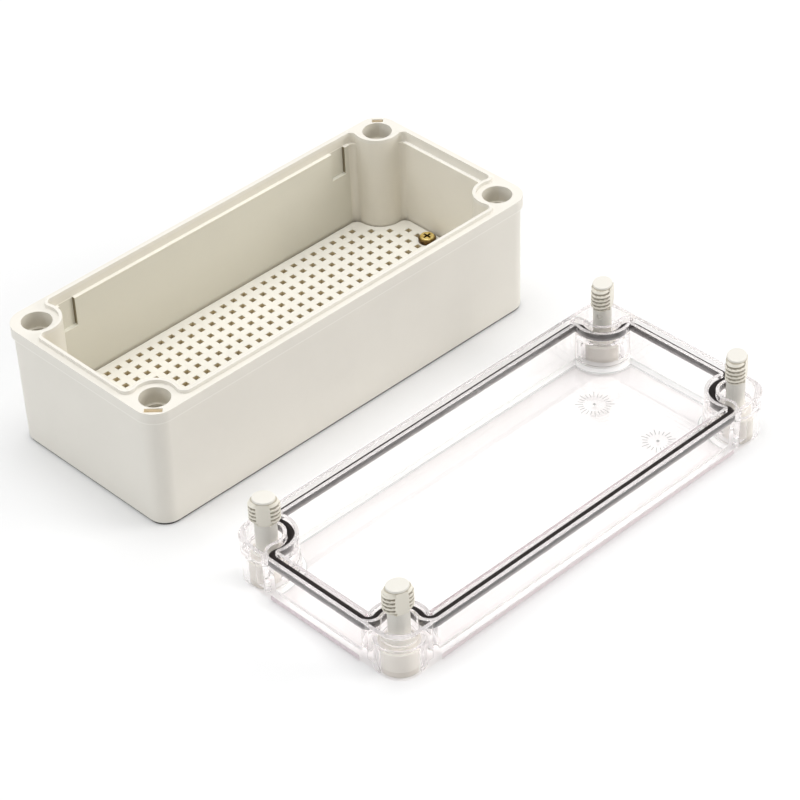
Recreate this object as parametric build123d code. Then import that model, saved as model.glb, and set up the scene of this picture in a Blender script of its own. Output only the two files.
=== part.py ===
from build123d import *
import os
from math import hypot, sqrt

# A moulded junction box, 180 x 80 mm, shown open: the base stands with its
# mounting plate inside, and the clear cover lies upside down beside it on the
# same surface, with its four captive screws pointing up.
# Millimetres, +Z up, origin at the centre of the base's underside.

# Overall sizes
box_length = 180.0
box_width = 80.0
corner_radius = 8.0
screw_inset = 8.9          # cover screw axes, in from both outer faces

# Base: outside
base_height = 48.8         # underside to the flat rim
band_height = 4.4          # the proud band round the rim
band_step = 0.9            # how far the band stands out from the wall
base_draft = 0.35          # how far each outer wall leans in by the bottom
foot_height = 0.8          # the box stands on a foot set in from its walls
foot_inset = 0.5
foot_chamfer = 0.2         # bevel of the walls' bottom edge
floor_thickness = 4.2      # underside to the floor inside

# Base: inside
rim_wall = 3.5             # outer face to inner face, above the ledge
ledge_width = 1.3          # the wall below the ledge is thicker by this
ledge_drop = 2.8           # flat rim down to the ledge
cavity_draft = 0.2
post_radius = 8.9          # inside face of the four screw posts
post_blend = 2.0           # hollow where a post runs into a wall
tongue_height = 1.35       # sealing tongue above the flat rim
tongue_thickness = 1.2
notch_width = 6.8          # clip notches in the long walls, below the ledge
notch_height = 11.6
notch_from_screw = 16.4    # notch centre, from the cover screw axis

# Base: screw bores and the two small rim pockets
mouth_diameter = 11.0
mouth_depth = 6.4
bore_diameter = 9.0
wall_hole_diameter = 4.5   # wall screws pass through the floor of each bore
bore_floor = 5.2           # material left under a wall screw's head
pocket_lengths = (6.2, 4.2)  # near left corner, far right corner
pocket_width = 2.0
pocket_depth = 4.0
pocket_from_screw = 7.0    # pocket centre, out from the screw axis

# Mounting plate
plate_top = 12.1           # above the underside of the base
plate_thickness = 2.0
plate_clearance = 0.45     # plate edge to end wall, and plate cut-out to post
plate_side_gap = 0.8       # plate edge to long wall
plate_corner = 3.0         # rounded corners beside the cut-outs
grid_pitch = 5.0
grid_hole = 2.1            # square holes
grid_margin = 3.5          # least distance, hole centre to plate edge
grid_post_margin = 3.0     # least distance, hole centre to a corner cut-out

# Plate screws and the bosses that carry the plate
plate_screw_from_end = 10.0  # in from the base's end faces
plate_screw_y = 5.0
plate_screw_diameter = 3.0
plate_screw_length = 6.0   # below the plate's top face
plate_screw_head = 6.8
plate_screw_head_height = 2.3
plate_screw_crown = 0.9    # bevel of the head's top
cross_length = 3.6
cross_width = 0.8
cross_depth = 1.2
screw_play = 0.1           # radial gap round the plate screws
boss_diameter = 8.0
support_diameter = 6.0
support_from_end = 35.0
support_from_side = 15.0

# Cover
cover_height = 18.2
cover_panel = 2.0          # the flat panel
cover_draft = 0.3          # outer faces lean in towards the panel
cover_edge_chamfer = 0.5
cover_wall = 5.3           # outer face to cavity, at the rim
cover_cavity_draft = 0.5
cover_foot_bevel = 1.3     # where the cavity's walls meet the panel
groove_width = 2.6
groove_depth = 3.5
groove_shift = 0.2         # groove's centre line, out from the tongue's
cover_skirt = 1.5          # thin wall round the corner pockets
pocket_corner = 9.2        # radius of the pockets' outer corner
groove_skirt = 1.3         # thin wall between a corner pocket and the groove
pocket_floor = 3.0         # corner pockets go down to here
well_diameter = 13.0       # the screw heads sit in these
well_depth = 11.0
well_roof = 1.2            # the screw hangs on this
well_tube_radius = 8.0
shank_hole_diameter = 8.0

# Gasket
gasket_side_gap = 0.1
gasket_height = 2.4

# Captive cover screws, measured from the outer face of the head
screw_head_diameter = 12.1
screw_head_height = 9.8
screw_shank = (6.6, 7.6)   # oval: across the flats, and the other way
screw_thread = (7.9, 10.8)
screw_shoulder = (7.4, 8.9)
screw_cap = (7.0, 8.0)
screw_end_radius = 4.2     # the thread's two rounded sides
screw_thread_start = 23.4
screw_thread_end = 30.6
screw_shoulder_top = 32.4
screw_length = 33.4
screw_turns = (250, 120, 117, 221)  # where each screw's flats face, degrees
slot_width = 1.8
slot_depth = 3.0

# Where the cover lies beside the base
cover_gap = 32.0           # between the two
cover_x = 1.9

# Worked out from the sizes above
screw_x = box_length / 2 - screw_inset
screw_y = box_width / 2 - screw_inset
corner_signs = [(-1, -1), (1, -1), (1, 1), (-1, 1)]
screw_spots = [(sx * screw_x, sy * screw_y) for sx, sy in corner_signs]
cover_y = -(box_width + cover_gap)
plate_screw_x = box_length / 2 - plate_screw_from_end
ledge_height = base_height - ledge_drop
lower_wall = rim_wall + ledge_width
plate_bottom = plate_top - plate_thickness
groove_step = tongue_thickness / 2 + groove_shift


def arc(centre, start, end, radius):
    """The shorter arc from start to end about centre."""
    middle = (start - centre).normalized() + (end - centre).normalized()
    return ThreePointArc(start, centre + middle.normalized() * radius, end)


def seal_outline(inset, post, blend, side_extra=0.0):
    """Face inside the line that runs along the walls and steps in round the
    four screw posts. inset: from the outer faces. post: radius of the posts
    about the screw axes. blend: radius where a post meets a wall.
    side_extra: added to inset along the long walls."""
    half_x = box_length / 2 - inset
    half_y = box_width / 2 - inset - side_extra
    drop = screw_inset - inset - blend
    reach = sqrt((post + blend) ** 2 - drop ** 2)
    reach_long = sqrt((post + blend) ** 2 - (drop - side_extra) ** 2)
    edges = []
    ends = []
    for sx, sy in corner_signs:
        axis = Vector(sx * screw_x, sy * screw_y)
        on_long = Vector(sx * (screw_x - reach_long), sy * half_y)
        on_end = Vector(sx * half_x, sy * (screw_y - reach))
        centre_long = on_long - Vector(0, sy * blend)
        centre_end = on_end - Vector(sx * blend, 0)
        post_long = axis + (centre_long - axis).normalized() * post
        post_end = axis + (centre_end - axis).normalized() * post
        edges.append(arc(axis, post_long, post_end, post))
        if blend > 0:
            edges.append(arc(centre_long, on_long, post_long, blend))
            edges.append(arc(centre_end, on_end, post_end, blend))
        ends.append((on_long, on_end))
    for first, second in ((0, 1), (2, 3)):
        edges.append(Line(ends[first][0], ends[second][0]))
    for first, second in ((1, 2), (3, 0)):
        edges.append(Line(ends[first][1], ends[second][1]))
    return Face(Wire([piece.edge() for piece in edges]))


def stepped_outline(step):
    """The same line, moved outwards by step from the base's inner wall."""
    return seal_outline(rim_wall - step, post_radius - step, post_blend + step)


def raised(face, low, high):
    """The face pulled up into a solid from z low to z high."""
    return extrude(Pos(0, 0, low) * face, high - low, dir=(0, 0, 1))


def outline(inset, radius):
    """Face with rounded corners, inside the overall length and width."""
    return RectangleRounded(box_length - 2 * inset, box_width - 2 * inset, radius)


def block(inset, low, high, lean=0.0, bevel=0.0):
    """Rounded block from z low to z high. Its walls lean in by lean towards
    the low face, and the low edge is bevelled."""
    radius = corner_radius - inset
    faces = [Pos(0, 0, high) * outline(inset, radius)]
    faces.insert(0, Pos(0, 0, low + bevel) * outline(inset + lean, radius))
    if bevel > 0:
        faces.insert(0, Pos(0, 0, low) * outline(inset + lean + bevel, radius - bevel))
    return loft(faces, ruled=True)


def column(radius, low, high):
    """Round column on the Z axis."""
    return Pos(0, 0, low) * Cylinder(radius, high - low, align=(Align.CENTER, Align.CENTER, Align.MIN))


def box_between(low, high):
    """Block between two opposite corners."""
    size = [b - a for a, b in zip(low, high)]
    return Pos(*low) * Box(*size, align=(Align.MIN, Align.MIN, Align.MIN))


def band(step, half_width, low, high):
    """Ring that follows the sealing line, from z low to z high."""
    outer = raised(stepped_outline(step + half_width), low, high)
    return outer - raised(stepped_outline(step - half_width), low, high)


def at_corners(shape):
    """The shape at each of the four cover screw axes."""
    return [Pos(x, y) * shape for x, y in screw_spots]


def base_box():
    """The base: outer walls, posts, ledge, tongue, bores and bosses."""
    band_bottom = base_height - band_height
    wall_foot = band_step + base_draft
    body = block(band_step, foot_height, band_bottom, base_draft, foot_chamfer)
    body += block(wall_foot + foot_inset, 0, foot_height + foot_chamfer)
    body += block(0, band_bottom, base_height)
    tongue_top = base_height + tongue_height
    body += raised(stepped_outline(tongue_thickness), base_height, tongue_top)

    # The cavity: wider above the ledge, with a little draft below it
    body -= raised(stepped_outline(0), ledge_height, tongue_top)
    low_inset = lower_wall + cavity_draft
    low_face = seal_outline(low_inset, post_radius + cavity_draft, post_blend)
    high_face = seal_outline(lower_wall, post_radius, post_blend)
    cavity_ends = [Pos(0, 0, floor_thickness) * low_face, Pos(0, 0, ledge_height) * high_face]
    body -= loft(cavity_ends, ruled=True)

    # Clip notches in both long walls
    notch_x = screw_x - notch_from_screw
    wall_y = box_width / 2 - rim_wall
    notch_low = ledge_height - notch_height
    for sx in (-1, 1):
        for sy in (-1, 1):
            near_y = sy * (wall_y - 2 * ledge_width)
            low = (sx * notch_x - notch_width / 2, min(near_y, sy * wall_y), notch_low)
            high = (sx * notch_x + notch_width / 2, max(near_y, sy * wall_y), ledge_height)
            body -= box_between(low, high)

    # Screw bores, with a hole for a wall screw at the bottom of each
    bore = column(mouth_diameter / 2, base_height - mouth_depth, base_height)
    bore += column(bore_diameter / 2, bore_floor, base_height)
    bore += column(wall_hole_diameter / 2, 0, base_height)
    body -= at_corners(bore)

    # Two small pockets in the rim, at opposite corners
    for sx, length in zip((-1, 1), pocket_lengths):
        pocket = Box(pocket_width, length, 2 * pocket_depth)
        turned = Rot(0, 0, 45) * (Pos(sx * pocket_from_screw, 0) * pocket)
        body -= Pos(sx * screw_x, sx * screw_y, base_height) * turned

    # Bosses for the plate screws, and plain supports
    screw_hole = column(plate_screw_diameter / 2 + screw_play, plate_top - plate_screw_length - 1, plate_bottom)
    for sign in (-1, 1):
        spot = Pos(sign * plate_screw_x, sign * plate_screw_y)
        body += spot * column(boss_diameter / 2, floor_thickness, plate_bottom)
        body -= spot * screw_hole
    support_x = box_length / 2 - support_from_end
    support_y = box_width / 2 - support_from_side
    for sx, sy in corner_signs:
        body += Pos(sx * support_x, sy * support_y) * column(support_diameter / 2, floor_thickness, plate_bottom)
    return body


def grid_spots():
    """Centres of the square holes in the mounting plate."""
    inset = lower_wall + cavity_draft + plate_clearance
    reach_x = box_length / 2 - inset - grid_margin
    reach_y = box_width / 2 - inset - grid_margin
    count_x = int(reach_x / grid_pitch)
    count_y = int(reach_y / grid_pitch)
    post_reach = post_radius + grid_post_margin
    screw_reach = plate_screw_head / 2
    spots = []
    for column_number in range(-count_x, count_x + 1):
        for row_number in range(-count_y, count_y + 1):
            x = column_number * grid_pitch
            y = row_number * grid_pitch
            clear_of_posts = hypot(abs(x) - screw_x, abs(y) - screw_y) > post_reach
            to_screws = [hypot(x - s * plate_screw_x, y - s * plate_screw_y) for s in (-1, 1)]
            if clear_of_posts and min(to_screws) > screw_reach:
                spots.append((x, y))
    return spots


def mounting_plate():
    """The perforated plate, cut round the four posts."""
    inset = lower_wall + cavity_draft + plate_clearance
    cut_radius = post_radius + cavity_draft + plate_clearance
    side_extra = plate_side_gap - plate_clearance
    edge = seal_outline(inset, cut_radius, plate_corner, side_extra)
    square = Rectangle(grid_hole, grid_hole).wire()
    holes = [Pos(x, y) * square for x, y in grid_spots()]
    ring = Circle(plate_screw_diameter / 2 + screw_play).wire()
    for sign in (-1, 1):
        holes.append(Pos(sign * plate_screw_x, sign * plate_screw_y) * ring)
    sheet = Face(edge.outer_wire(), holes)
    return raised(sheet, plate_bottom, plate_top)


def plate_screw():
    """Pan-head screw with a cross recess, its head seat at z = 0."""
    head = column(plate_screw_head / 2, 0, plate_screw_head_height)
    head = chamfer(head.edges().group_by(Axis.Z)[-1], plate_screw_crown)
    shank = column(plate_screw_diameter / 2, -plate_screw_length, 0)
    recess_z = plate_screw_head_height - cross_depth / 2
    slot = Pos(0, 0, recess_z) * Box(cross_length, cross_width, cross_depth)
    return head + shank - slot - Rot(0, 0, 90) * slot


def clear_cover():
    """The cover, upside down: its outer panel is at z = 0 and its rim on top."""
    body = block(0, 0, cover_height, cover_draft, cover_edge_chamfer)

    rim_face = seal_outline(cover_wall, post_radius + cover_wall - rim_wall, 0)
    low_inset = cover_wall + cover_cavity_draft
    low_face = seal_outline(low_inset, post_radius + low_inset - rim_wall, 0)
    panel_inset = low_inset + cover_foot_bevel
    panel_face = seal_outline(panel_inset, post_radius + panel_inset - rim_wall, 0)
    sections = [Pos(0, 0, cover_panel) * panel_face]
    sections.append(Pos(0, 0, cover_panel + cover_foot_bevel) * low_face)
    sections.append(Pos(0, 0, cover_height) * rim_face)
    body -= loft(sections, ruled=True)

    # Gasket groove, over the base's tongue
    groove = band(groove_step, groove_width / 2, cover_height - groove_depth, cover_height)
    body -= groove

    # Corner pockets, open to the base, on the screws' side of the groove
    inside = outline(cover_skirt, pocket_corner)
    kept = stepped_outline(groove_step + groove_width / 2 + groove_skirt)
    body -= raised(inside, pocket_floor, cover_height) - raised(kept, pocket_floor, cover_height)

    # Tubes round the screw heads, with a roof that the screws hang on
    body += at_corners(column(well_tube_radius, cover_panel, well_depth + well_roof))
    hollow = column(well_diameter / 2, 0, well_depth)
    hollow += column(shank_hole_diameter / 2, 0, well_depth + well_roof)
    body -= at_corners(hollow)
    return body


def cover_gasket():
    """The rubber ring in the cover's groove."""
    half = groove_width / 2 - gasket_side_gap
    seat = cover_height - groove_depth
    return band(groove_step, half, seat, seat + gasket_height)


def oval(size, low, high):
    """Oval column, size: its two widths."""
    return raised(Ellipse(size[0] / 2, size[1] / 2), low, high)


def flatted(size):
    """Face with two flats, size[0] apart, and two rounded sides, size[1] apart."""
    shift = size[1] / 2 - screw_end_radius
    face = Rectangle(2 * screw_end_radius, 2 * shift)
    face += Pos(0, shift) * Circle(screw_end_radius)
    face += Pos(0, -shift) * Circle(screw_end_radius)
    return (face & Rectangle(size[0], size[1] + 1)).face()


def cover_screw():
    """Captive screw: slotted head down, flatted thread and cap on top."""
    body = column(screw_head_diameter / 2, 0, screw_head_height)
    body += oval(screw_shank, 0, screw_thread_start)
    body += raised(flatted(screw_thread), screw_thread_start, screw_thread_end)
    wide = Pos(0, 0, screw_thread_end) * flatted(screw_thread)
    narrow = Pos(0, 0, screw_shoulder_top) * flatted(screw_shoulder)
    body += loft([wide, narrow], ruled=True)
    body += oval(screw_cap, screw_shoulder_top, screw_length)
    slot = Box(screw_head_diameter + 1, slot_width, slot_depth)
    return body - Pos(0, 0, slot_depth / 2) * slot


os.makedirs("parts", exist_ok=True)
export_step(base_box(), "parts/base_box.step")
export_step(mounting_plate(), "parts/mounting_plate.step")
for number, sign in enumerate((1, -1), start=1):
    spot = Pos(sign * plate_screw_x, sign * plate_screw_y, plate_top)
    export_step(spot * plate_screw(), f"parts/plate_screw_{number}.step")

cover_place = Pos(cover_x, cover_y)
export_step(cover_place * clear_cover(), "parts/clear_cover.step")
export_step(cover_place * cover_gasket(), "parts/cover_gasket.step")
for number, (x, y) in enumerate(screw_spots, start=1):
    spot = cover_place * Pos(x, y) * Rot(0, 0, screw_turns[number - 1])
    export_step(spot * cover_screw(), f"parts/cover_screw_{number}.step")
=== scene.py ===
import bpy
import bmesh
from math import atan2, cos, hypot, pi, radians, sin, sqrt
from mathutils import Matrix, Vector


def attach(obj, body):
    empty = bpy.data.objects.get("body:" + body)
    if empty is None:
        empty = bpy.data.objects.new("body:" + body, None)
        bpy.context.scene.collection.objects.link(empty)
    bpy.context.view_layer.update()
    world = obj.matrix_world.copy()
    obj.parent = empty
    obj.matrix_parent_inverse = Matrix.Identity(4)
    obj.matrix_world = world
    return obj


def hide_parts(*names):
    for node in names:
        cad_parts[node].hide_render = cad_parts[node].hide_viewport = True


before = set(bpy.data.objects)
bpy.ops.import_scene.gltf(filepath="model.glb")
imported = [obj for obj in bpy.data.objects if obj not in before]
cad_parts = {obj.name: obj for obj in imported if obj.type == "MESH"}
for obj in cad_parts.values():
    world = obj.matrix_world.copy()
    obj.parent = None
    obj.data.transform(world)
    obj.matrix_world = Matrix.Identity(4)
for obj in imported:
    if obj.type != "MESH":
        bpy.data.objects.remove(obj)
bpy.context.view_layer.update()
scene = bpy.context.scene
scene.view_settings.view_transform = "Standard"
# Light has to leave the clear cover again after many inner reflections
scene.cycles.max_bounces = 110
scene.cycles.glossy_bounces = 100
scene.cycles.transmission_bounces = 80
MM = 0.001

# Sizes repeated from the solids, in millimetres
LENGTH, WIDTH, INSET = 180.0, 80.0, 8.9
SCREW_X, SCREW_Y = LENGTH / 2 - INSET, WIDTH / 2 - INSET
CORNERS = [(-1, -1), (1, -1), (1, 1), (-1, 1)]
OUTER_RADIUS = 8.0
COVER_X, COVER_Y = 1.9, -112.0
PANEL_TOP = 2.0
GASKET_SEAT = 14.7
# Rings of ticks in the panel: centre x and y, ticks, inner and outer radius
RINGS = [(59.2, -99.2, 24, 4.0, 7.0), (59.0, -129.2, 20, 3.6, 6.4)]

# Strength of the floor's own light, and of the sky's light on the object
FLOOR_GLOW = 0.12
SKY = 0.50


# Camera
def set_camera():
    """The photograph's view, as a camera fitted to it gives it."""
    azimuth, elevation, roll = radians(-42.76), radians(37.96), radians(-2.565)
    distance = 1.047757
    focal_pixels, frame_pixels, sensor = 2955.4, 800, 36.0
    target = Vector((14.645, -46.711, 1.3)) * MM
    back = Vector((sin(azimuth) * cos(elevation), -cos(azimuth) * cos(elevation), sin(elevation)))
    right = (-back).cross(Vector((0, 0, 1))).normalized()
    up = right.cross(-back)
    turned_right = cos(roll) * right + sin(roll) * up
    turned_up = -sin(roll) * right + cos(roll) * up
    place = target + back * distance
    data = bpy.data.cameras.new("camera")
    data.sensor_width = sensor
    data.sensor_fit = "HORIZONTAL"
    data.lens = focal_pixels / frame_pixels * sensor
    data.clip_start, data.clip_end = 0.01, 50.0
    camera = bpy.data.objects.new("camera", data)
    scene.collection.objects.link(camera)
    rows = [(turned_right[i], turned_up[i], back[i], place[i]) for i in range(3)]
    camera.matrix_world = Matrix(rows + [(0, 0, 0, 1)])
    scene.camera = camera


# Materials
# Low and high x and y of the cover's outer faces between the cells, from its centre, where a pale pink glow
# is painted
NEAR_FOOT = ((-71.0, -40.1), (71.0, -39.0))
LEFT_FOOT = ((-90.1, -21.0), (-89.0, 21.0))
FOOT_GLOW_TOP = 2.6
CAVITY_X, CAVITY_Y = 84.5, 34.5


def new_material(name):
    material = bpy.data.materials.new(name)
    material.use_nodes = True
    tree = material.node_tree
    tree.nodes.clear()
    out = tree.nodes.new("ShaderNodeOutputMaterial")
    shader = tree.nodes.new("ShaderNodeBsdfPrincipled")
    tree.links.new(shader.outputs[0], out.inputs["Surface"])
    return material, tree, shader, out


def noise(tree, scale, detail=3.0, roughness=0.5):
    """Noise over the object's own coordinates, with features of about 1/scale metres."""
    place = tree.nodes.new("ShaderNodeTexCoord")
    texture = tree.nodes.new("ShaderNodeTexNoise")
    texture.inputs["Scale"].default_value = scale
    texture.inputs["Detail"].default_value = detail
    texture.inputs["Roughness"].default_value = roughness
    tree.links.new(place.outputs["Object"], texture.inputs["Vector"])
    return texture.outputs["Fac"]


def between(tree, factor, low, high):
    """Maps a noise factor, which is mostly between 0.3 and 0.7, onto low to high."""
    node = tree.nodes.new("ShaderNodeMapRange")
    node.inputs["From Min"].default_value = 0.3
    node.inputs["From Max"].default_value = 0.7
    node.inputs["To Min"].default_value = low
    node.inputs["To Max"].default_value = high
    tree.links.new(factor, node.inputs["Value"])
    return node.outputs["Result"]


def two_colours(tree, factor, first, second):
    node = tree.nodes.new("ShaderNodeValToRGB")
    node.color_ramp.elements[0].position = 0.35
    node.color_ramp.elements[1].position = 0.65
    node.color_ramp.elements[0].color = (*first, 1)
    node.color_ramp.elements[1].color = (*second, 1)
    tree.links.new(factor, node.inputs["Fac"])
    return node.outputs["Color"]


def bumps(tree, shader, parts):
    """Adds up (height, strength, distance in mm) bumps and feeds the shader."""
    last = None
    for height, strength, distance in parts:
        node = tree.nodes.new("ShaderNodeBump")
        node.inputs["Strength"].default_value = strength
        node.inputs["Distance"].default_value = distance * MM
        tree.links.new(height, node.inputs["Height"])
        if last is not None:
            tree.links.new(last, node.inputs["Normal"])
        last = node.outputs["Normal"]
    tree.links.new(last, shader.inputs["Normal"])


def math(tree, operation, first, second=0.0):
    """One step of arithmetic over sockets or numbers."""
    node = tree.nodes.new("ShaderNodeMath")
    node.operation = operation
    for index, value in enumerate((first, second)):
        if isinstance(value, (int, float)):
            node.inputs[index].default_value = value
        else:
            tree.links.new(value, node.inputs[index])
    return node.outputs[0]


def coordinates(tree, kind="Object"):
    """The object's own x, y and z, or its own normal's, as three sockets."""
    place = tree.nodes.new("ShaderNodeTexCoord")
    split = tree.nodes.new("ShaderNodeSeparateXYZ")
    tree.links.new(place.outputs[kind], split.inputs[0])
    return split.outputs


def inside_block(tree, low, high):
    """1 where the object's own coordinates lie inside the block, in millimetres, else 0."""
    place = coordinates(tree)
    total = 1.0
    for axis in range(3):
        near = tree.nodes.new("ShaderNodeMath")
        near.operation = "COMPARE"
        near.inputs[1].default_value = (low[axis] + high[axis]) / 2 * MM
        near.inputs[2].default_value = (high[axis] - low[axis]) / 2 * MM
        tree.links.new(place[axis], near.inputs[0])
        total = math(tree, "MULTIPLY", near.outputs[0], total)
    return total


def outer_line(tree, inset, low, high, centre=(0.0, 0.0)):
    """1 beyond the rounded outline moved in by inset, between two heights, else 0."""
    place = coordinates(tree)
    total = 0.0
    radius = max(OUTER_RADIUS, inset + 1.0)
    for axis, half in ((0, LENGTH / 2), (1, WIDTH / 2)):
        step = math(tree, "SUBTRACT", place[axis], centre[axis] * MM)
        beyond = math(tree, "SUBTRACT", math(tree, "ABSOLUTE", step), (half - radius) * MM)
        past = math(tree, "MAXIMUM", beyond, 0.0)
        total = math(tree, "ADD", math(tree, "MULTIPLY", past, past), total)
    outside = math(tree, "GREATER_THAN", total, ((radius - inset) * MM) ** 2)
    above = math(tree, "GREATER_THAN", place[2], low * MM)
    below = math(tree, "LESS_THAN", place[2], high * MM)
    return math(tree, "MULTIPLY", outside, math(tree, "MULTIPLY", above, below))


def pocket_block(tree, low, high):
    """The block's mask, without the outermost millimetre of the box."""
    rim = outer_line(tree, 1.0, low[2], high[2])
    inner = math(tree, "SUBTRACT", inside_block(tree, low, high), rim)
    return math(tree, "MAXIMUM", inner, 0.0)


def mixed(tree, factor, first, second):
    """first where factor is 0, second where it is 1. Both are colour sockets."""
    mix = tree.nodes.new("ShaderNodeMix")
    mix.data_type = "RGBA"
    tree.links.new(factor, mix.inputs[0])
    tree.links.new(first, mix.inputs[6])
    tree.links.new(second, mix.inputs[7])
    return mix.outputs[2]


def ramp(tree, value, low, high):
    """0 at low, 1 at high."""
    node = tree.nodes.new("ShaderNodeMapRange")
    node.inputs["From Min"].default_value = low
    node.inputs["From Max"].default_value = high
    tree.links.new(value, node.inputs["Value"])
    return node.outputs["Result"]


def tinted(tree, shade, mask, tint):
    """The colour times tint where mask is 1."""
    mix = tree.nodes.new("ShaderNodeMix")
    mix.data_type = "RGBA"
    mix.blend_type = "MULTIPLY"
    tree.links.new(mask, mix.inputs[0])
    tree.links.new(shade, mix.inputs[6])
    mix.inputs[7].default_value = (*tint, 1)
    return mix.outputs[2]


def moulded(name, colour, spread, rough, grain=0.35, blocks=(), pockets=(), lines=()):
    """Moulded plastic: faint cloudy colour, fine spark-eroded grain, soft sheen.
    blocks: (low, high, tint) parts of space painted darker or paler, as painted shade and painted light.
    pockets: the same, but without the outer face.
    lines: (inset, low, high, tint) the same for strips round the outside."""
    material, tree, shader, _ = new_material(name)
    darker = tuple(c * (1 - spread) for c in colour)
    lighter = tuple(min(1, c * (1 + spread)) for c in colour)
    cloud = noise(tree, 38, 4, 0.55)
    shade = two_colours(tree, cloud, darker, lighter)
    for low, high, tint in blocks:
        shade = tinted(tree, shade, inside_block(tree, low, high), tint)
    for low, high, tint in pockets:
        shade = tinted(tree, shade, pocket_block(tree, low, high), tint)
    for inset, low, high, tint in lines:
        shade = tinted(tree, shade, outer_line(tree, inset, low, high), tint)
    tree.links.new(shade, shader.inputs["Base Color"])
    fine = noise(tree, 5200, 2, 0.6)
    tree.links.new(between(tree, noise(tree, 900, 2), rough - 0.05, rough + 0.06), shader.inputs["Roughness"])
    bumps(tree, shader, [(noise(tree, 90, 2), 0.12, 0.25), (fine, grain, 0.025)])
    shader.inputs["IOR"].default_value = 1.52
    return material


def cover_painted_light_and_shade(tree):
    """(mask, share, colour) for the parts of the clear cover painted with a soft glow of the light led
    through the panel, and for one line of painted shade; these coats also stop light from being led on for
    ever."""
    centre = (COVER_X, COVER_Y)
    glows = []
    # Painted glow: pale pink along the foot of the near side and of the left end
    for (low_x, low_y), (high_x, high_y) in (NEAR_FOOT, LEFT_FOOT):
        low = (low_x + COVER_X, low_y + COVER_Y, 0.05)
        high = (high_x + COVER_X, high_y + COVER_Y, FOOT_GLOW_TOP)
        glows.append((inside_block(tree, low, high), 0.85, (0.74, 0.65, 0.67)))
    # Painted glow, white, and then a grey line of painted shade at the foot of the cavity's walls
    low = (COVER_X - CAVITY_X, COVER_Y - CAVITY_Y)
    high = (COVER_X + CAVITY_X, COVER_Y + CAVITY_Y)
    glows.append((inside_block(tree, (*low, 2.3), (*high, 4.0)), 0.8, (0.97, 0.97, 0.96)))
    glows.append((inside_block(tree, (*low, 2.02), (*high, 2.3)), 0.6, (0.70, 0.70, 0.70)))
    # Painted light, nearly white, on the underside within 16 mm of its edge
    glows.append((outer_line(tree, 16.0, -0.1, 0.03, centre), 0.9, (0.95, 0.94, 0.94)))
    return glows


def clear_plastic():
    """Clear polycarbonate with a faint warm tint in thick places."""
    material, tree, shader, out = new_material("clear_polycarbonate")
    shader.inputs["Base Color"].default_value = (1.0, 0.985, 0.98, 1)
    shader.inputs["Transmission Weight"].default_value = 1.0
    shader.inputs["IOR"].default_value = 1.585
    tree.links.new(between(tree, noise(tree, 400, 2), 0.0, 0.02), shader.inputs["Roughness"])
    bumps(tree, shader, [(noise(tree, 60, 2), 0.03, 0.3)])
    path = tree.nodes.new("ShaderNodeLightPath")
    through = tree.nodes.new("ShaderNodeBsdfTransparent")
    through.inputs["Color"].default_value = (0.9, 0.89, 0.89, 1)
    mix = tree.nodes.new("ShaderNodeMixShader")
    tree.links.new(path.outputs["Is Shadow Ray"], mix.inputs[0])
    tree.links.new(shader.outputs[0], mix.inputs[1])
    tree.links.new(through.outputs[0], mix.inputs[2])
    last = mix.outputs[0]
    # Diffuse coats mixed into the glass: painted glow and painted shade
    for mask, share, colour in cover_painted_light_and_shade(tree):
        painted_glow_and_shade = tree.nodes.new("ShaderNodeBsdfDiffuse")
        painted_glow_and_shade.inputs["Color"].default_value = (*colour, 1)
        mix = tree.nodes.new("ShaderNodeMixShader")
        tree.links.new(math(tree, "MULTIPLY", mask, share), mix.inputs[0])
        tree.links.new(last, mix.inputs[1])
        tree.links.new(painted_glow_and_shade.outputs[0], mix.inputs[2])
        last = mix.outputs[0]
    tree.links.new(last, out.inputs["Surface"])
    body = tree.nodes.new("ShaderNodeVolumeAbsorption")
    body.inputs["Color"].default_value = (1.0, 0.955, 0.96, 1)
    body.inputs["Density"].default_value = 10.0
    tree.links.new(body.outputs[0], out.inputs["Volume"])
    return material


def rubber():
    """Black on top, and grey down its sides, paler lower down, which show through the clear walls."""
    material, tree, shader, _ = new_material("black_rubber")
    speck = noise(tree, 2500, 3, 0.6)
    shade = two_colours(tree, speck, (0.24, 0.23, 0.23), (0.36, 0.34, 0.34))
    height = coordinates(tree)[2]
    for low, high, first, second in (
        (GASKET_SEAT, 15.2, (0.13, 0.12, 0.12), (0.21, 0.20, 0.20)),
        (15.4, 15.9, (0.006, 0.004, 0.004), (0.016, 0.011, 0.010)),
    ):
        upper = two_colours(tree, speck, first, second)
        shade = mixed(tree, ramp(tree, height, low * MM, high * MM), shade, upper)
    tree.links.new(shade, shader.inputs["Base Color"])
    shader.inputs["Specular IOR Level"].default_value = 0.2
    tree.links.new(between(tree, noise(tree, 600, 2), 0.55, 0.75), shader.inputs["Roughness"])
    bumps(tree, shader, [(speck, 0.5, 0.05)])
    return material


def brass():
    """Yellow plating with painted light and shade: a painted highlight on faces that point up, painted shade
    on the sides, and painted shade below the top of the head, which darkens the cross.
    """
    material, tree, shader, _ = new_material("yellow_plated_brass")
    stain = noise(tree, 900, 4, 0.6)
    painted_lit_top = two_colours(tree, stain, (0.80, 0.52, 0.10), (1.0, 0.86, 0.40))
    painted_shade = two_colours(tree, stain, (0.10, 0.055, 0.012), (0.45, 0.27, 0.06))
    shade = mixed(tree, ramp(tree, coordinates(tree, "Normal")[2], 0.6, 0.9), painted_shade, painted_lit_top)
    # Painted shade below the top of the head, on its sides and in the cross
    low, high = (-91.0, -41.0, 11.0), (91.0, 41.0, 14.05)
    shade = tinted(tree, shade, inside_block(tree, low, high), (0.3, 0.25, 0.2))
    tree.links.new(shade, shader.inputs["Base Color"])
    shader.inputs["Metallic"].default_value = 0.75
    tree.links.new(between(tree, noise(tree, 1500, 3), 0.15, 0.28), shader.inputs["Roughness"])
    bumps(tree, shader, [(noise(tree, 2000, 2), 0.3, 0.03)])
    return material


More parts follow.
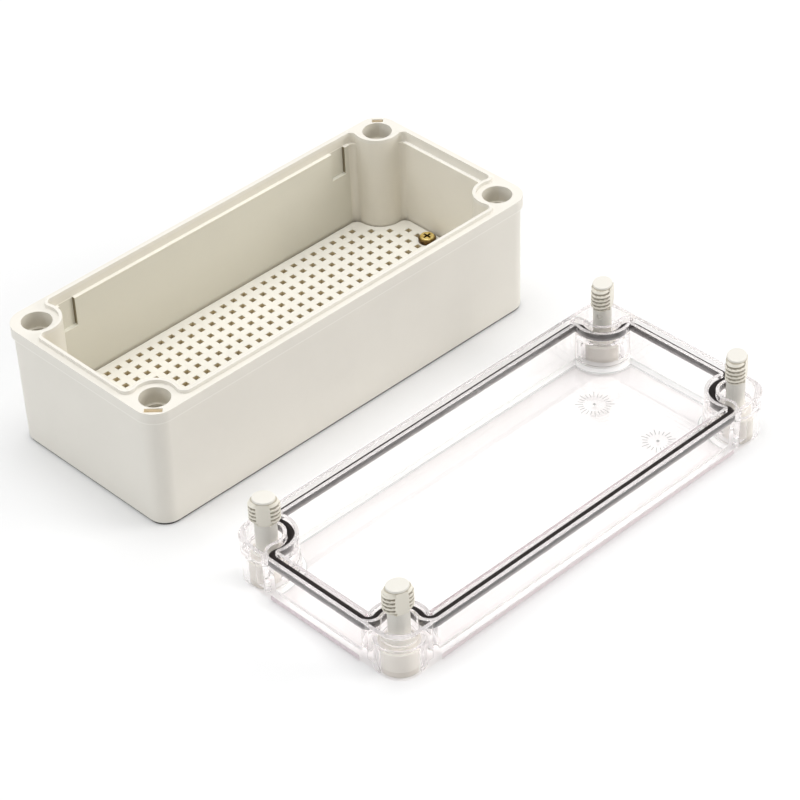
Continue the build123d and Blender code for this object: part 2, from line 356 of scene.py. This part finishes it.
def floor_material():
    """White sweep: lit as plain white, and white where the camera or glass sees it."""
    material, tree, shader, out = new_material("studio_white")
    shader.inputs["Roughness"].default_value = 0.9
    shader.inputs["Specular IOR Level"].default_value = 0.0
    shade = two_colours(tree, noise(tree, 3, 2), (0.75, 0.75, 0.75), (0.77, 0.77, 0.77))
    tree.links.new(shade, shader.inputs["Base Color"])
    add = tree.nodes.new("ShaderNodeAddShader")
    glow = tree.nodes.new("ShaderNodeEmission")
    tree.links.new(seen_directly(tree, FLOOR_GLOW), glow.inputs["Strength"])
    tree.links.new(shader.outputs[0], add.inputs[0])
    tree.links.new(glow.outputs[0], add.inputs[1])
    tree.links.new(add.outputs[0], out.inputs["Surface"])
    return material


def seen_directly(tree, strength, otherwise=0.0):
    """strength for camera, mirror and glass rays, otherwise for the rest."""
    path = tree.nodes.new("ShaderNodeLightPath")
    total = path.outputs["Is Camera Ray"]
    for name in ("Is Glossy Ray", "Is Transmission Ray"):
        total = math(tree, "MAXIMUM", total, path.outputs[name])
    node = tree.nodes.new("ShaderNodeMapRange")
    node.inputs["To Min"].default_value = otherwise
    node.inputs["To Max"].default_value = strength
    tree.links.new(total, node.inputs["Value"])
    return node.outputs["Result"]


# Light and floor
def set_light():
    world = bpy.data.worlds.new("studio")
    scene.world = world
    world.use_nodes = True
    tree = world.node_tree
    tree.nodes.clear()
    out = tree.nodes.new("ShaderNodeOutputWorld")
    sky = tree.nodes.new("ShaderNodeBackground")
    sky.inputs["Color"].default_value = (1.0, 1.0, 1.0, 1)
    tree.links.new(seen_directly(tree, 1.0, SKY), sky.inputs["Strength"])
    tree.links.new(sky.outputs[0], out.inputs["Surface"])

    def panel(name, place, aim, size, power, colour=(1, 1, 1)):
        data = bpy.data.lights.new(name, "AREA")
        data.shape = "RECTANGLE"
        data.size, data.size_y = size
        data.energy = power
        data.color = colour
        lamp = bpy.data.objects.new(name, data)
        scene.collection.objects.link(lamp)
        lamp.location = place
        lamp.rotation_euler = (Vector(aim) - Vector(place)).to_track_quat("-Z", "Y").to_euler()
        lamp.visible_camera = False
        lamp.visible_transmission = False

    panel("top_softbox", (0.1, 0.1, 1.3), (0, -0.05, 0), (1.0, 0.9), 10.2)
    panel("right_softbox", (1.15, -1.1, 0.65), (0, -0.05, 0.02), (0.9, 0.7), 12.0, (1.0, 0.985, 0.96))
    panel("left_softbox", (-1.2, 0.5, 0.6), (0, -0.05, 0.02), (0.7, 0.5), 4.3, (0.92, 0.96, 1.0))


def set_floor():
    mesh = bpy.data.meshes.new("floor")
    half = 3.0
    corners = [(-half, -half, 0), (half, -half, 0), (half, half, 0), (-half, half, 0)]
    mesh.from_pydata(corners, [], [(0, 1, 2, 3)])
    floor = bpy.data.objects.new("floor", mesh)
    floor.location.z = -0.0001
    scene.collection.objects.link(floor)
    mesh.materials.append(floor_material())


# Meshes
def add_object(name, verts, faces, material, smooth=35, second=None, marked=()):
    """Object from points in millimetres, with soft shading under the given angle.
    The faces numbered in marked get the second material."""
    mesh = bpy.data.meshes.new(name)
    mesh.from_pydata([(x * MM, y * MM, z * MM) for x, y, z in verts], [], faces)
    mesh.materials.append(material)
    if second is not None:
        mesh.materials.append(second)
        for index in marked:
            mesh.polygons[index].material_index = 1
    obj = bpy.data.objects.new(name, mesh)
    scene.collection.objects.link(obj)
    bm = bmesh.new()
    bm.from_mesh(mesh)
    bmesh.ops.remove_doubles(bm, verts=bm.verts, dist=1e-7)
    bmesh.ops.recalc_face_normals(bm, faces=bm.faces)
    bm.to_mesh(mesh)
    bm.free()
    mesh.shade_smooth()
    mesh.set_sharp_from_angle(angle=radians(smooth))
    return obj


def arc_points(centre, start, end, radius, steps):
    first = atan2(start[1] - centre[1], start[0] - centre[0])
    last = atan2(end[1] - centre[1], end[0] - centre[0])
    turn = (last - first + pi) % (2 * pi) - pi
    angles = [first + turn * i / steps for i in range(steps + 1)]
    return [(centre[0] + radius * cos(angle), centre[1] + radius * sin(angle)) for angle in angles]


def seal_path(inset, post, blend, steps=18):
    """Closed line along the walls and in round the four posts, as in the solids."""
    half_x, half_y = LENGTH / 2 - inset, WIDTH / 2 - inset
    drop = INSET - inset - blend
    reach = sqrt((post + blend) ** 2 - drop ** 2)
    points = []
    for index, (sx, sy) in enumerate(CORNERS):
        axis = (sx * SCREW_X, sy * SCREW_Y)
        on_long = (sx * (SCREW_X - reach), sy * half_y)
        on_end = (sx * half_x, sy * (SCREW_Y - reach))
        c_long = (on_long[0], on_long[1] - sy * blend)
        c_end = (on_end[0] - sx * blend, on_end[1])
        scale_long = post / hypot(c_long[0] - axis[0], c_long[1] - axis[1])
        scale_end = post / hypot(c_end[0] - axis[0], c_end[1] - axis[1])
        p_long = tuple(axis[i] + (c_long[i] - axis[i]) * scale_long for i in range(2))
        p_end = tuple(axis[i] + (c_end[i] - axis[i]) * scale_end for i in range(2))
        run = arc_points(c_end, on_end, p_end, blend, steps // 2)
        run += arc_points(axis, p_end, p_long, post, steps)[1:]
        run += arc_points(c_long, p_long, on_long, blend, steps // 2)[1:]
        points += run if index % 2 == 0 else run[::-1]
    return points


SEAL_INSET, SEAL_POST, SEAL_BLEND = 3.5, 8.9, 2.0


def ring_along(name, profile, material, place=(0, 0, 0), smooth=35):
    """Solid ring along the sealing line. profile: (step outwards, z) points, closed."""
    loops = [seal_path(SEAL_INSET - step, SEAL_POST - step, SEAL_BLEND + step) for step, _ in profile]
    count = len(loops[0])
    verts = []
    for (step, z), loop in zip(profile, loops):
        verts += [(x + place[0], y + place[1], z + place[2]) for x, y in loop]
    faces = []
    rows = len(profile)
    for row in range(rows):
        after = (row + 1) % rows
        for i in range(count):
            j = (i + 1) % count
            faces.append((row * count + i, row * count + j, after * count + j, after * count + i))
    return add_object(name, verts, faces, material, smooth)


# Captive screws
AROUND = 144
THREAD_RADIUS = 5.4
END_RADIUS = 3.6
FLAT = 3.5
SCREW_TOP = 33.4
PITCH = 1.55
PHASE_AT = 23.59
THREAD_LOW, THREAD_HIGH, SHOULDER_TOP = 23.4, 30.6, 32.4
GROOVE_DEPTH, GROOVE_HALF_WIDTH, GROOVE_SLOPE = 1.05, 0.44, 0.16
GROOVE_START, GROOVE_END = 0.3, 31.55
# Share of the groove's depth from which a face gets the painted groove shade
SHADED_FROM = 0.3
# Where the grooves leave the flats: radius, distance from the middle, and how fast they deepen
SIDE_RADIUS, SIDE_FROM, SIDE_FADE = 4.4, 2.5, 0.25
# The parting line down the shank: 1 minus the sine at its edge, and how proud it stands
SEAM_EDGE, SEAM_PROUD = 0.0004, 0.09
SLOT_SIZE = (9.0, 1.8, 3.5)
SLOT_MIDDLE = 1.25
DIMPLE_Z, DIMPLE_RADIUS, DIMPLE_DEPTH = 20.7, 1.0, 0.55


def screw_rings():
    """(z, half width across the flats, half width the other way, part), from the head up."""
    rings = [(0.0, 5.75, 5.75, "oval"), (0.12, 5.92, 5.92, "oval"), (0.35, 6.05, 6.05, "oval")]
    rings += [(9.2, 6.05, 6.05, "oval"), (9.42, 6.0, 6.0, "oval"), (9.6, 5.9, 5.9, "oval")]
    rings += [(9.74, 5.74, 5.74, "oval"), (9.8, 5.5, 5.5, "oval"), (9.8, 3.6, 4.1, "oval")]
    rings += [(9.95, 3.37, 3.87, "oval"), (10.2, 3.3, 3.8, "shank")]
    rings += [(19.4 + 0.15 * i, 3.3, 3.8, "shank") for i in range(18)]
    rings += [(23.0, 3.3, 3.8, "shank"), (23.3, 3.35, 3.85, "oval")]
    steps = 108
    for i in range(steps + 1):
        z = THREAD_LOW + (SHOULDER_TOP - THREAD_LOW) * i / steps
        wide = min(THREAD_RADIUS, 4.35 + (z - THREAD_LOW) * 0.75, THREAD_RADIUS - (z - THREAD_HIGH) * 0.53)
        flat = min(FLAT, 3.32 + (z - THREAD_LOW) * 0.5, FLAT - (z - THREAD_HIGH) * 0.03)
        rings.append((z, flat, wide, "thread"))
    rings += [(SHOULDER_TOP, 3.56, 4.06, "oval"), (32.44, 3.49, 3.99, "oval"), (32.54, 3.47, 3.97, "oval")]
    rings += [(33.16, 3.45, 3.95, "oval"), (33.3, 3.38, 3.88, "oval")]
    rings += [(33.37, 3.27, 3.77, "oval"), (SCREW_TOP, 3.05, 3.55, "oval")]
    return rings


def clamped(value):
    return max(0.0, min(1.0, value))


def groove(z, angle):
    """Share of the groove's full depth. It winds up round the screw and runs out at both ends."""
    phase = ((z - PHASE_AT) / PITCH - angle / (2 * pi)) % 1.0
    aside = abs(phase - 0.5) * PITCH
    depth = clamped((GROOVE_HALF_WIDTH - aside) / GROOVE_SLOPE)
    run_in = clamped((z - THREAD_LOW - GROOVE_START) / 0.25)
    run_out = clamped((GROOVE_END - z) / 0.2)
    return depth * run_in * run_out


def beside_flat(local):
    """0 on the flats, 1 on the two rounded sides."""
    return clamped((abs(sin(local)) * SIDE_RADIUS - SIDE_FROM) / SIDE_FADE)


def screw_radius(z, flat, wide, part, local, dimple):
    """Radius at height z and at the angle local from the direction of the flats."""
    across, along = abs(cos(local)), abs(sin(local))
    if part == "thread":
        shift = THREAD_RADIUS - END_RADIUS
        if (wide - shift) * along <= shift * across:
            return flat / across
        end = wide - shift - GROOVE_DEPTH * groove(z, local) * beside_flat(local)
        radius = shift * along + sqrt(max(0.01, end * end - (shift * across) ** 2))
        return min(radius, flat / max(across, 1e-6))
    radius = flat * wide / hypot(flat * along, wide * across)
    if part == "shank":
        if abs(along - 1) < SEAM_EDGE:
            radius += SEAM_PROUD
        if dimple is not None:
            aside = ((local - dimple + pi) % (2 * pi) - pi) * radius
            if hypot(aside, z - DIMPLE_Z) < DIMPLE_RADIUS:
                radius -= DIMPLE_DEPTH
    return radius


def build_screw(name, node, x, y, turn, material, shaded, dimple=None):
    """One captive screw, with flats square to the direction turn (degrees)."""
    facing = radians(turn)
    marked = None if dimple is None else radians(dimple) - facing
    verts, faces, painted_shade = [], [], []
    rows = screw_rings()
    for z, flat, wide, part in rows:
        for i in range(AROUND):
            local = 2 * pi * i / AROUND
            r = screw_radius(z, flat, wide, part, local, marked)
            verts.append((x + r * cos(local + facing), y + r * sin(local + facing), z))
    for row in range(len(rows) - 1):
        threaded = rows[row][3] == rows[row + 1][3] == "thread"
        z = (rows[row][0] + rows[row + 1][0]) / 2
        for i in range(AROUND):
            j = (i + 1) % AROUND
            local = 2 * pi * (i + 0.5) / AROUND
            if threaded and groove(z, local) * beside_flat(local) > SHADED_FROM:
                painted_shade.append(len(faces))
            faces.append((row * AROUND + i, row * AROUND + j, (row + 1) * AROUND + j, (row + 1) * AROUND + i))
    low, high = len(verts), len(verts) + 1
    verts += [(x, y, 0.0), (x, y, SCREW_TOP)]
    top = (len(rows) - 1) * AROUND
    for i in range(AROUND):
        j = (i + 1) % AROUND
        faces.append((low, j, i))
        faces.append((high, top + i, top + j))
    screw = add_object(name, verts, faces, material, 30, shaded, painted_shade)
    cutter = box_object("slot_cutter", (x, y, SLOT_MIDDLE), SLOT_SIZE, turn)
    cut = screw.modifiers.new("slot", "BOOLEAN")
    cut.operation = "DIFFERENCE"
    cut.object = cutter
    cut.solver = "EXACT"
    settle(screw)
    bpy.data.objects.remove(cutter)
    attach(screw, node)
    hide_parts(node)


def box_object(name, centre, size, turn=0.0):
    """Plain block used only to cut with."""
    mesh = bpy.data.meshes.new(name)
    bm = bmesh.new()
    bmesh.ops.create_cube(bm, size=1.0)
    for v in bm.verts:
        v.co = Vector((v.co.x * size[0], v.co.y * size[1], v.co.z * size[2]))
        v.co = Matrix.Rotation(radians(turn), 3, "Z") @ v.co + Vector(centre)
        v.co *= MM
    bm.to_mesh(mesh)
    bm.free()
    obj = bpy.data.objects.new(name, mesh)
    scene.collection.objects.link(obj)
    return obj


def settle(obj):
    """Applies the object's modifiers to its mesh."""
    graph = bpy.context.evaluated_depsgraph_get()
    done = bpy.data.meshes.new_from_object(obj.evaluated_get(graph))
    old = obj.data
    obj.modifiers.clear()
    obj.data = done
    bpy.data.meshes.remove(old)


def soften(node, width, angle=28, segments=2, dissolve=True):
    """Rounds the edges of a carried-over node, without changing its mesh."""
    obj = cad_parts[node]
    weld = obj.modifiers.new("weld", "WELD")
    weld.merge_threshold = 1e-6
    if dissolve:
        flat = obj.modifiers.new("flat", "DECIMATE")
        flat.decimate_type = "DISSOLVE"
        flat.angle_limit = radians(0.4)
    bevel = obj.modifiers.new("bevel", "BEVEL")
    bevel.width = width * MM
    bevel.segments = segments
    bevel.limit_method = "ANGLE"
    bevel.angle_limit = radians(angle)
    bevel.harden_normals = False
    bevel.use_clamp_overlap = True
    bevel.miter_outer = "MITER_ARC"
    normals = obj.modifiers.new("normals", "WEIGHTED_NORMAL")
    normals.keep_sharp = False
    normals.weight = 80


def dress(node, material):
    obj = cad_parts[node]
    obj.data.materials.clear()
    obj.data.materials.append(material)


# Build
set_camera()
set_light()
set_floor()

# Zones of the base where shade and light are painted into its plastic's colour, in millimetres
# Painted highlight on the sills, and painted shade on the notches' sides
PAINTED_SILL_LIGHT = (1.24, 1.26, 1.30)
PAINTED_NOTCH_SHADE = (0.36, 0.32, 0.25)
LEDGE = (45.74, 46.05)
NOTCH_SILL = (34.15, 34.45)
NOTCH_SIDE = (34.6, 45.7)
POCKET = (44.7, 48.6)
blocks = [
    # Painted shade under the plate, then over the whole inside, then on the far wall's inner face
    ((-86.0, -36.4, 4.0), (86.0, 36.4, 10.3), (0.3, 0.28, 0.25)),
    ((-85.4, -36.6, 4.0), (85.4, 36.6, 48.7), (0.97, 0.96, 0.93)),
    ((-70.0, 34.9, 12.0), (70.0, 36.6, 45.7), (0.89, 0.90, 0.88)),
    # A painted highlight on the ledge on all four sides
    ((-70.5, 35.0, LEDGE[0]), (70.5, 36.7, LEDGE[1]), PAINTED_SILL_LIGHT),
    ((-70.5, -36.7, LEDGE[0]), (70.5, -35.0, LEDGE[1]), PAINTED_SILL_LIGHT),
    ((85.0, -21.5, LEDGE[0]), (86.7, 21.5, LEDGE[1]), PAINTED_SILL_LIGHT),
    ((-86.7, -21.5, LEDGE[0]), (-85.0, 21.5, LEDGE[1]), PAINTED_SILL_LIGHT),
    # The notches in the far wall: a painted highlight on their sills, then painted shade on their sides
    ((-68.2, 35.1, NOTCH_SILL[0]), (-61.2, 36.6, NOTCH_SILL[1]), PAINTED_SILL_LIGHT),
    ((61.2, 35.1, NOTCH_SILL[0]), (68.2, 36.6, NOTCH_SILL[1]), PAINTED_SILL_LIGHT),
    ((-61.5, 35.4, NOTCH_SIDE[0]), (-61.1, 36.55, NOTCH_SIDE[1]), PAINTED_NOTCH_SHADE),
    ((67.9, 35.4, NOTCH_SIDE[0]), (68.3, 36.55, NOTCH_SIDE[1]), PAINTED_NOTCH_SHADE),
]
# Painted light in the rim's pockets at two corners, but not on the box's outer face
pockets = [
    ((-89.9, -39.9, POCKET[0]), (-83.2, -33.2, POCKET[1]), (1.25, 1.16, 1.0)),
    ((85.2, 35.2, POCKET[0]), (89.9, 39.9, POCKET[1]), (1.25, 1.12, 0.93)),
]
# Painted shade on the recessed foot, then a painted highlight on the lower edge of the band round the rim,
# with painted shadow just below it
lines = [
    (2.4, 0.03, 0.78, (0.05, 0.05, 0.05)),
    (1.6, 44.42, 44.8, (1.10, 1.11, 1.13)),
    (1.6, 43.9, 44.38, (0.92, 0.92, 0.92)),
]
# Painted shade on the walls of the plate's holes, below its top face
painted_hole_shade = ((-86.0, -36.4, 9.7), (86.0, 36.4, 11.85), (0.95, 0.84, 0.62))
base_colour = (0.785, 0.754, 0.685)
base_plastic = moulded("base_abs", base_colour, 0.012, 0.42, blocks=blocks, pockets=pockets, lines=lines)
plate_plastic = moulded("plate_abs", (0.90, 0.875, 0.80), 0.012, 0.36, 0.2, blocks=(painted_hole_shade,))
# Painted shade on the head's foot, painted light on the thread, and a painted shadow line on the lip under
# the cap
screw_painted_light_and_shade = (
    ((-200.0, -200.0, -0.1), (200.0, 200.0, 2.4), (0.84, 0.82, 0.80)),
    ((-200.0, -200.0, 23.3), (200.0, 200.0, 32.38), (1.08, 1.065, 1.02)),
    ((-200.0, -200.0, 32.38), (200.0, 200.0, 32.62), (0.66, 0.62, 0.54)),
)
screw_plastic = moulded("screw_nylon", (0.75, 0.725, 0.665), 0.02, 0.45, 0.25, blocks=screw_painted_light_and_shade)
# Painted shade for the faces deep in the thread's grooves
groove_plastic = moulded("screw_groove_shade", (0.47, 0.43, 0.36), 0.02, 0.55, 0.25)
clear = clear_plastic()
black = rubber()
gold = brass()

dress("base_box", base_plastic)
dress("mounting_plate", plate_plastic)
dress("clear_cover", clear)
for number in (1, 2):
    dress(f"plate_screw_{number}", gold)
    soften(f"plate_screw_{number}", 0.12)
soften("base_box", 0.22, dissolve=False)
soften("mounting_plate", 0.15, segments=1)
soften("clear_cover", 0.25)

# Direction of each screw's flats, in degrees, and of the dimple on the third
SCREW_TURNS = [250.0, 120.0, 117.0, 221.0]
SCREW_DIMPLES = [None, None, 208.0, None]
for number, (sx, sy) in enumerate(CORNERS, start=1):
    build_screw(
        f"captive_screw_{number}", f"cover_screw_{number}", COVER_X + sx * SCREW_X, COVER_Y + sy * SCREW_Y,
        SCREW_TURNS[number - 1], screw_plastic, groove_plastic, SCREW_DIMPLES[number - 1],
    )

gasket = ring_along(
    "gasket_ring",
    [(-0.4, GASKET_SEAT), (-0.4, 16.78), (-0.28, 17.03), (0.0, 17.1), (0.5, 17.02),
     (1.0, 16.85), (1.5, 16.55), (1.85, 16.25), (2.0, 15.95), (2.0, GASKET_SEAT)],
    black, (COVER_X, COVER_Y, 0),
)
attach(gasket, "cover")
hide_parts("cover_gasket")

# How far the ticks go into the panel and stand proud of it, and their sizes
TICK_SUNK, TICK_PROUD = 0.01, 0.04
TICK_HALF_WIDTH, SHORT_TICK_STEP, SQUARE_HALF = 0.11, 0.9, 0.5


def add_bar(verts, faces, centre, along, start, end, half_width):
    """Closed bar on the panel, from start to end out from centre. Its foot is just in the panel."""
    first = len(verts)
    for z in (PANEL_TOP - TICK_SUNK, PANEL_TOP + TICK_PROUD):
        for step, side in ((start, -half_width), (end, -half_width), (end, half_width), (start, half_width)):
            x = centre[0] + along[0] * step - along[1] * side
            y = centre[1] + along[1] * step + along[0] * side
            verts.append((x, y, z))
    for corners in ((3, 2, 1, 0), (4, 5, 6, 7), (0, 1, 5, 4), (1, 2, 6, 5), (2, 3, 7, 6), (3, 0, 4, 7)):
        faces.append(tuple(first + corner for corner in corners))


def build_ticks(material):
    """Rings of plain ticks, every third one longer, each ring with a small square inside."""
    verts, faces = [], []
    for centre_x, centre_y, count, inner, outer in RINGS:
        centre = (centre_x, centre_y)
        for index in range(count):
            angle = 2 * pi * index / count
            far = outer - (SHORT_TICK_STEP if index % 3 else 0.0)
            add_bar(verts, faces, centre, (cos(angle), sin(angle)), inner, far, TICK_HALF_WIDTH)
        add_bar(verts, faces, centre, (1.0, 0.0), -SQUARE_HALF, SQUARE_HALF, SQUARE_HALF)
    return add_object("panel_ticks", verts, faces, material)


marks = build_ticks(moulded("faint_moulding", (0.38, 0.38, 0.37), 0.05, 0.5))
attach(marks, "cover")
